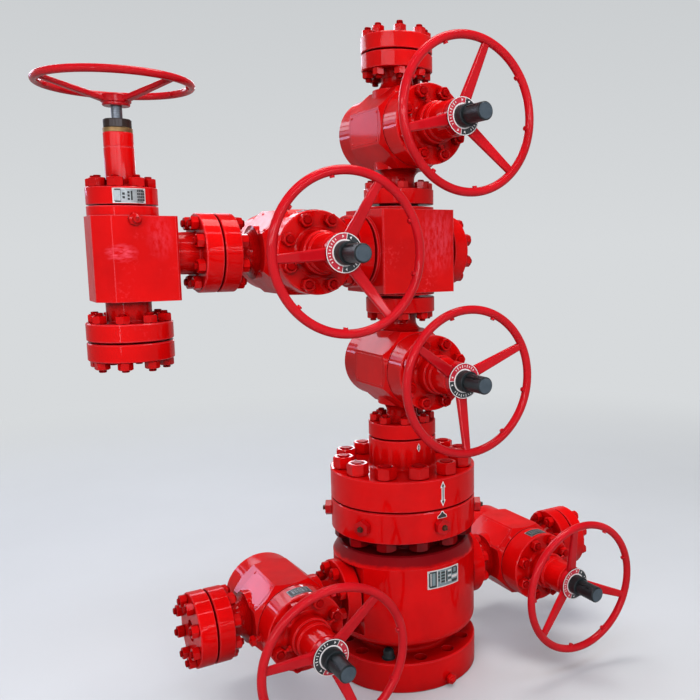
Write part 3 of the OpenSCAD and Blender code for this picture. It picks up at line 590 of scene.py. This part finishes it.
# ---------------------------------------------------------------- plates
def curved_plate(name, R, z0, z1, a0, a1, M, mats, marks, rim=0.05):
    """A thin plate wrapped round a cylinder on M's Z, with a raised frame and plain printed blocks.

    Each mark is (left, right, bottom, top, material), in parts of the plate's width and height.
    """
    s = Shape()

    def patch(aa, ab, za, zb, r0, r1, mat):
        sector(s, M, r0, r1, aa, ab, za, zb, mat, max(2, int(abs(ab - aa)/2)))
    patch(a0, a1, z0, z1, R - 0.4, R + 1.0, 0)
    w, h = a1 - a0, z1 - z0
    t, u = rim*w*h/(w*R*math.pi/180), rim*h
    for q in ((a0, a1, z0, z0 + u), (a0, a1, z1 - u, z1), (a0, a0 + t, z0, z1), (a1 - t, a1, z0, z1)):
        patch(*q, R + 0.9, R + 1.8, 0)
    for k, (fa, fb, ga, gb, mat) in enumerate(marks):
        top = R + (1.15 if k == 0 else 1.4 if mat == 1 else 1.65)
        patch(a0 + fa*w, a0 + fb*w, z0 + ga*h, z0 + gb*h, R + 0.9, top, mat)
    for fa in (0.045, 0.955):
        for ga in (0.09, 0.91):
            a = math.radians(a0 + fa*w)
            out = Vector((math.cos(a), math.sin(a), 0))
            P = axis_frame(R*out + Vector((0, 0, z0 + ga*h)), out)
            s.lathe(M @ P, [(2.4, 0.5), (2.4, 2.1), (1.7, 2.9), (0.01, 3.2)], 12, cap0=False, cap1=False)
    s.object(name, mats, "tree")


HERE = Matrix.Identity(4)
drum_marks = [(0.03, 0.97, 0.05, 0.95, 2), (0.045, 0.265, 0.07, 0.93, 1), (0.085, 0.110, 0.16, 0.86, 0),
              (0.135, 0.225, 0.17, 0.85, 2), (0.275, 0.298, 0.05, 0.95, 0)]
drum_marks += [(0.31, 0.36, 0.34 + 0.19*i, 0.48 + 0.19*i, 1) for i in range(3)]
drum_marks += [(0.40, 0.52, 0.24 + 0.165*i, 0.345 + 0.165*i, 1) for i in range(4)]
drum_marks += [(0.385, 0.395, 0.20, 0.90, 0), (0.535, 0.55, 0.16, 0.90, 0), (0.56, 0.605, 0.24, 0.84, 1)]
drum_marks += [(0.625, 0.735, 0.20 + 0.14*i, 0.285 + 0.14*i, i % 2) for i in range(5)]
drum_marks += [(0.765, 0.955, 0.55, 0.94, 1), (0.815, 0.905, 0.63, 0.87, 2), (0.755, 0.955, 0.33, 0.48, 0),
               (0.76, 0.955, 0.11, 0.25, 1)]
curved_plate("drum_plate", 290.0, 414.0, 487.0, -101.5, -73.0, HERE, [FRAME, INK, PANEL], drum_marks)
choke_marks = [(0.03, 0.97, 0.05, 0.95, 2), (0.04, 0.24, 0.07, 0.16, 1), (0.04, 0.24, 0.86, 0.94, 1),
               (0.235, 0.247, 0.16, 0.86, 1)]
choke_marks += [(0.285, 0.36, 0.30 + 0.24*i, 0.46 + 0.24*i, 1) for i in range(2)]
choke_marks += [(0.435, 0.50, 0.20 + 0.22*i, 0.35 + 0.22*i, 1) for i in range(3)]
choke_marks += [(0.53, 0.585, 0.20, 0.82, 1)]
choke_marks += [(0.73 + 0.058*i, 0.775 + 0.058*i, 0.15 + 0.20*j, 0.29 + 0.20*j, 1)
                for i in range(4) for j in range(4)]
choke_marks += [(0.955, 0.97, 0.10, 0.90, 1), (0.70, 0.96, 0.05, 0.10, 1)]
curved_plate("choke_plate", CHOKE_R, CHOKE_BONNET_Z + 3, CHOKE_BONNET_Z + 49, -115.5, -63.0,
             Matrix.Translation((CHOKE_X, 0, 0)), [FRAME, INK, PLATE], choke_marks)

# A dark plate with pale printed rows on top of the bonnet's rim
rim_marks = [(0.02, 0.98, 0.03, 0.97, 1)]
rim_marks += [(0.14 + 0.15*i, 0.25 + 0.15*i, 0.22 + 0.20*j, 0.30 + 0.20*j, 0)
              for i in range(5) for j in range(3)]
for v in ("wing", "left_annulus", "right_annulus"):
    M = axis_frame((VALVES[v][0], 0, VALVES[v][1]), (0, -1, 0))
    curved_plate(f"{v}_rim_plate", 143.0, 176.0, 227.0, 76.0, 108.0, M, [PLATE, INK], rim_marks, rim=0.04)


def flat_plate(name, M, w, h):
    """A thin plate under the paint, with bevelled edges and a rivet at each corner."""
    s = Shape()
    top, bevel, inset = 0.9, 0.4, 7
    loops = []
    for z, e in ((-0.3, 0), (top - bevel, 0), (top, bevel)):
        x, y = w/2 - e, h/2 - e
        loops.append([(-x, -y, z), (x, -y, z), (x, y, z), (-x, y, z)])
    s.rings(M, loops)
    for sx in (-1, 1):
        for sy in (-1, 1):
            P = M @ Matrix.Translation((sx*(w/2 - inset), sy*(h/2 - inset), 0.7))
            s.lathe(P, [(5.0, 0), (5.0, 1.0), (3.8, 2.6), (0.01, 3.4)], 16, cap0=False, cap1=False)
    s.object(name, [RED], "tree")


# On the flats of the valve blocks: how far from the line's middle the side and the slanting flats are
FLAT, DIAGONAL = 147.0, 149.9
for name, z in (("swab_side_plate", SWAB_Z), ("master_side_plate", MASTER_Z)):
    flat_plate(name, axis_frame((-FLAT, -6, z), (-1, 0, 0)), 216, 112)
for v in ("wing", "left_annulus", "right_annulus"):
    cx, cz = VALVES[v][:2]
    M = axis_frame((cx - DIAGONAL/math.sqrt(2), -26, cz + DIAGONAL/math.sqrt(2)), (-1, 0, 1))
    flat_plate(f"{v}_block_plate", M, 180, 98)


# ---------------------------------------------------------------- fittings and plugs
# Turned profiles: (radius, height) from the base up
NIPPLE = [(7.2, 0), (7.2, 7), (5.6, 8), (5.6, 12), (7.0, 13.5), (7.0, 17), (5.2, 19.5), (0.01, 20.0)]
CHOKE_PLUG = [(13.5, 0), (13.5, 9), (11.0, 12), (6.0, 12.6), (6.0, 9), (0.01, 8.6)]
HOLE_PLUG = [(24.0, -18), (24.0, 0.1), (27.0, 0.1), (27.0, 4.0), (22.5, 6.0), (21.0, 9.0), (21.0, 25.0), (20.0, 31.0),
             (17.0, 36.5), (12.0, 40.5), (6.0, 42.6), (0.01, 43.2)]
PLUG_AF = 36.0


def fitting(s, M):
    """A hexagon grease fitting with a round nipple under its cap."""
    s.nut(M, 22.0, 11)
    s.lathe(M @ Matrix.Translation((0, 0, 10)), NIPPLE, 18, cap0=False, cap1=False)


def side_plug(s, M, neck):
    """A round plug with a hexagon head on a short neck."""
    s.lathe(M, [(16.0, 0), (16.0, 3.0), (12.0, 5.0), (12.0, neck)], 24, 0, cap0=False, cap1=False)
    s.nut(M @ Matrix.Translation((0, 0, neck - 0.5)), PLUG_AF, 16.0)
    s.lathe(M @ Matrix.Translation((0, 0, neck + 15.0)), [(9.5, 0), (9.5, 3.5), (8.0, 5.0), (0.01, 5.2)], 20,
            cap0=False, cap1=False)


for v, (cx, cz, flat_line) in VALVES.items():
    s = Shape()
    for a in ((20.0, 200.0) if flat_line else (110.0, 290.0)):
        r = math.radians(a)
        d = (math.cos(r), 0, math.sin(r))
        fitting(s, axis_frame((cx + 73.0*d[0], -272.0, cz + 73.0*d[2]), d))
    r = math.radians(184.0 if v == "left_annulus" else -4.0)
    d = (math.cos(r), 0, math.sin(r))
    side_plug(s, axis_frame((cx + 142.5*d[0], -176.0, cz + 142.5*d[2]), d), 24.0 if v == "left_annulus" else 14.0)
    s.object(f"{v}_fittings", [RED_NUT], "tree")

s = Shape()
M = axis_frame((CHOKE_X + 11.0, -CHOKE_FRONT, CHOKE_TOP - 12.0), (0, -1, 0), 12.0)
s.nut(M, PLUG_AF, 12.0)
s.lathe(M @ Matrix.Translation((4.0, 0, 11)), CHOKE_PLUG, 24, cap0=False, cap1=False)
s.object("choke_side_plug", [RED_NUT], "tree")

s = Shape()
r = math.radians(-83.5)
d = (math.cos(r), math.sin(r), 0)
M = axis_frame((291.0*d[0], 291.0*d[1], 30.0), d)
s.lathe(M, [(19.0, 0), (19.0, 3.0), (12.0, 5.0), (12.0, 9.0)], 24, 0, cap0=False, cap1=False)
s.nut(M @ Matrix.Translation((0, 0, 8.0)), PLUG_AF, 17.0)
s.lathe(M @ Matrix.Translation((0, 0, 24.0)), [(11.5, 0), (11.5, 5), (9.5, 7.5), (0.01, 8.0)], 20,
        cap0=False, cap1=False)
s.object("base_side_plug", [RED_NUT], "tree")

# A dark domed plug resting in one of the base flange's stud holes
s = Shape()
r = math.radians(-135.0)
M = axis_frame((241.3*math.cos(r), 241.3*math.sin(r), 119.0), UP)
s.lathe(M, HOLE_PLUG, 32, cap1=False)
s.object("base_hole_plug", [GUARD], "tree")


# ---------------------------------------------------------------- arrow marks
def wrapped_marks(name, strips):
    """Printed shapes that follow vertical cylinders: (radius, angle, rows of (half width, z) upwards, material)."""
    s = Shape()
    n = 12
    for R, a, rows, mat in strips:
        verts = []
        for half, z in rows:
            for i in range(n + 1):
                t = math.radians(a) + half*(2*i/n - 1)/R
                verts.append((R*math.cos(t), R*math.sin(t), z))
        faces = [(r*(n + 1) + i, r*(n + 1) + i + 1, (r + 1)*(n + 1) + i + 1, (r + 1)*(n + 1) + i)
                 for r in range(len(rows) - 1) for i in range(n)]
        s.put(HERE, verts, faces, mat)
    s.object(name, [WHITE, INK], "tree")


def double_arrow(R, a, z0, z1, w, head_w, head_h):
    """A dark arrow with a head at each end, and the same shape in white a little bigger under it."""
    out = []
    for grow, r, mat in ((w*1.6, R + 0.35, 0), (0.0, R + 0.65, 1)):
        g, k = grow, head_w + grow*1.5
        out.append((r, a, [(0.05, z0 - g*2), (k, z0 + head_h + g)], mat))
        out.append((r, a, [(w + g, z0 + head_h), (w + g, z1 - head_h)], mat))
        out.append((r, a, [(k, z1 - head_h - g), (0.05, z1 + g*2)], mat))
    return out


# An arrow on the adapter's big flange, a small one on its upper rim, and a mark on the head's flange under the first
marks = double_arrow(292.0, -88.0, 744.0, 828.0, 2.4, 6.0, 14.0)
marks += double_arrow(135.0, -91.0, 922.0, 946.0, 1.7, 4.2, 8.0)
for r, g, mat in ((292.35, 0.0, 0), (292.65, 3.0, 1)):
    marks.append((r, -88.8, [(22 - g*0.7, 691 + g*0.5), (20 - g*0.7, 701 - g*0.3), (9 - g*0.8, 709 - g*0.3),
                             (4 - g*0.6, 718.5 - g)], mat))
wrapped_marks("flange_marks", marks)


# ---------------------------------------------------------------- stage, light and camera
HORIZON = (0.68, 0.70, 0.715, 1)


def pale_rays(t):
    """1 for the rays that see the background itself or its reflection, 0 for those that light the object."""
    path = add(t, "ShaderNodeLightPath")
    either = math_node(t, "MAXIMUM", path.outputs["Is Camera Ray"], path.outputs["Is Transmission Ray"])
    return math_node(t, "MAXIMUM", either, path.outputs["Is Glossy Ray"])


def stage_plane(name, size, at, rot, mat):
    """A square plane that isn't part of the object."""
    me = bpy.data.meshes.new(name)
    h = size/2
    me.from_pydata([(-h, -h, 0), (h, -h, 0), (h, h, 0), (-h, h, 0)], [], [(0, 1, 2, 3)])
    me.materials.append(mat)
    o = bpy.data.objects.new(name, me)
    o.location = at
    o.rotation_euler = rot
    bpy.context.scene.collection.objects.link(o)


# The floor takes the object's shadow near it, and further off it has the background's own tone
m, t, b = new_mat("floor_pale")
co = add(t, "ShaderNodeTexCoord").outputs["Object"]
tone = ramp(t, noise(t, co, 0.6, 5.0), [(0.3, (0.56, 0.57, 0.58, 1)), (0.7, (0.60, 0.61, 0.62, 1))])
t.links.new(tone, b.inputs["Base Color"])
b.inputs["Roughness"].default_value = 0.7
b.inputs["Specular IOR Level"].default_value = 0.2
dim = add(t, "ShaderNodeBsdfDiffuse")
dim.inputs["Color"].default_value = (0.20, 0.20, 0.20, 1)
glow = add(t, "ShaderNodeEmission")
glow.inputs["Color"].default_value = HORIZON
far = add(t, "ShaderNodeVectorMath", operation="LENGTH")
t.links.new(co, far.inputs[0])
away = add(t, "ShaderNodeMapRange", interpolation_type="SMOOTHSTEP")
away.inputs["From Min"].default_value = 1.2
away.inputs["From Max"].default_value = 6.5
t.links.new(far.outputs["Value"], away.inputs["Value"])
both = add(t, "ShaderNodeMixShader")
t.links.new(math_node(t, "MULTIPLY", away.outputs["Result"], pale_rays(t)), both.inputs[0])
t.links.new(b.outputs[0], both.inputs[1])
t.links.new(glow.outputs[0], both.inputs[2])
floor = add(t, "ShaderNodeMixShader")
t.links.new(pale_rays(t), floor.inputs[0])
t.links.new(dim.outputs[0], floor.inputs[1])
t.links.new(both.outputs[0], floor.inputs[2])
t.links.new(floor.outputs[0], [n for n in t.nodes if n.type == "OUTPUT_MATERIAL"][0].inputs[0])
stage_plane("floor", 60.0, (0, 0, 0), (0, 0, 0), m)

world = bpy.data.worlds.new("studio")
bpy.context.scene.world = world
world.use_nodes = True
t = world.node_tree
t.nodes.clear()
out = add(t, "ShaderNodeOutputWorld")
bg = add(t, "ShaderNodeBackground")
bg.inputs["Color"].default_value = (0.93, 0.96, 1.0, 1)
bg.inputs["Strength"].default_value = 0.36
seen = add(t, "ShaderNodeBackground")
split = add(t, "ShaderNodeSeparateXYZ")
t.links.new(add(t, "ShaderNodeTexCoord").outputs["Generated"], split.inputs[0])
t.links.new(ramp(t, split.outputs["Z"], [(0.0, HORIZON), (0.27, (0.60, 0.62, 0.635, 1)), (0.52, (0.16, 0.17, 0.18, 1)),
                                         (1.0, (0.12, 0.13, 0.14, 1))]), seen.inputs["Color"])
mx = add(t, "ShaderNodeMixShader")
t.links.new(pale_rays(t), mx.inputs[0])
t.links.new(bg.outputs[0], mx.inputs[1])
t.links.new(seen.outputs[0], mx.inputs[2])
t.links.new(mx.outputs[0], out.inputs[0])


def area(name, at, look, w, h, watts, colour, mirrored=True):
    """A bright rectangle that looks at a point; one that isn't mirrored only lights."""
    L = bpy.data.lights.new(name, "AREA")
    L.shape = "RECTANGLE"
    L.size, L.size_y = w, h
    L.energy = watts
    L.color = colour
    o = bpy.data.objects.new(name, L)
    o.location = at
    o.rotation_euler = (Vector(look) - Vector(at)).to_track_quat("-Z", "Y").to_euler()
    o.visible_camera = False
    o.visible_glossy = mirrored
    bpy.context.scene.collection.objects.link(o)


# Bright panels that the gloss mirrors: two long ones behind with a dark gap between, two dimmer ones at their left,
# one at their right, one overhead, and more at the left and the rear; in front is a soft light that isn't mirrored
area("window_upper", (-1.0, 6.3, 4.58), (-1.0, 0, 1.8), 7.0, 0.45, 92, (0.82, 0.86, 1.0))
area("window_lower", (-1.0, 6.3, 3.95), (-1.0, 0, 1.8), 7.0, 0.50, 102, (0.82, 0.86, 1.0))
area("pane_upper", (-3.1, 6.2, 3.30), (0, 0, 2.1), 1.3, 0.55, 12, (0.62, 0.66, 1.0))
area("pane_lower", (-3.4, 6.1, 2.45), (-0.6, 0, 0.5), 1.0, 0.42, 20, (0.62, 0.66, 1.0))
area("window_right", (2.75, 6.3, 2.70), (0, 0, 0.9), 0.55, 0.42, 18, (0.90, 0.92, 1.0))
area("roof_light", (0.6, 0.6, 6.2), (0, 0, 1.0), 3.2, 1.6, 170, (1.0, 0.99, 0.97))
area("front_light", (-1.9, -5.2, 3.9), (-0.2, 0, 1.4), 4.0, 2.6, 170, (1.0, 0.98, 0.96), mirrored=False)
area("left_upper_window", (-5.5, -3.4, 3.85), (-0.4, 0, 2.2), 5.0, 0.5, 52, (0.88, 0.91, 1.0))
area("left_lower_window", (-5.5, -3.4, 2.75), (-0.4, 0, 2.0), 5.0, 0.6, 52, (0.88, 0.91, 1.0))
area("rear_window", (-2.6, -6.7, 2.85), (-0.9, 0, 2.0), 3.0, 1.0, 80, (0.86, 0.90, 1.0))
area("roof_strip", (-0.2, -2.7, 6.2), (-0.2, -1.0, 0), 5.0, 0.4, 60, (0.78, 0.84, 1.0))
for k, z in enumerate((2.55, 3.15, 3.75)):
    area(f"front_window_{k + 1}", (0.9, -7.2, z), (-0.3, 0, 1.2), 3.4, 0.20, 22, (0.86, 0.89, 1.0))
area("door_light", (-5.2, -5.3, 1.9), (-1.0, 0, 1.7), 0.40, 2.6, 24, (0.86, 0.89, 1.0))

cam_data = bpy.data.cameras.new("photo_view")
cam = bpy.data.objects.new("photo_view", cam_data)
bpy.context.scene.collection.objects.link(cam)
# The camera fitted to the flanges' edges: its place, its angles in radians, and its focal length and axis in pixels
EYE = Vector((-1.567576, -2.800110, 1.722513))
yaw, pitch, roll = 0.571040, -0.146669, -0.005748
FOCAL, AXIS_X, AXIS_Y, PICTURE = 807.2813, 449.697, 363.778, 700.0
SENSOR = 36.0
fwd = Vector((math.sin(yaw)*math.cos(pitch), math.cos(yaw)*math.cos(pitch), math.sin(pitch)))
right = Vector((math.cos(yaw), -math.sin(yaw), 0))
up = right.cross(fwd)
right2 = right*math.cos(roll) + up*math.sin(roll)
up2 = up*math.cos(roll) - right*math.sin(roll)
R3 = Matrix((right2, up2, -fwd)).transposed().to_4x4()
R3.translation = EYE
cam.matrix_world = R3
cam_data.sensor_width = SENSOR
cam_data.lens = FOCAL/PICTURE*SENSOR
cam_data.shift_x = (PICTURE/2 - AXIS_X)/PICTURE
cam_data.shift_y = (AXIS_Y - PICTURE/2)/PICTURE
cam_data.clip_end = 200.0
bpy.context.scene.camera = cam
bpy.context.scene.view_settings.view_transform = "Standard"
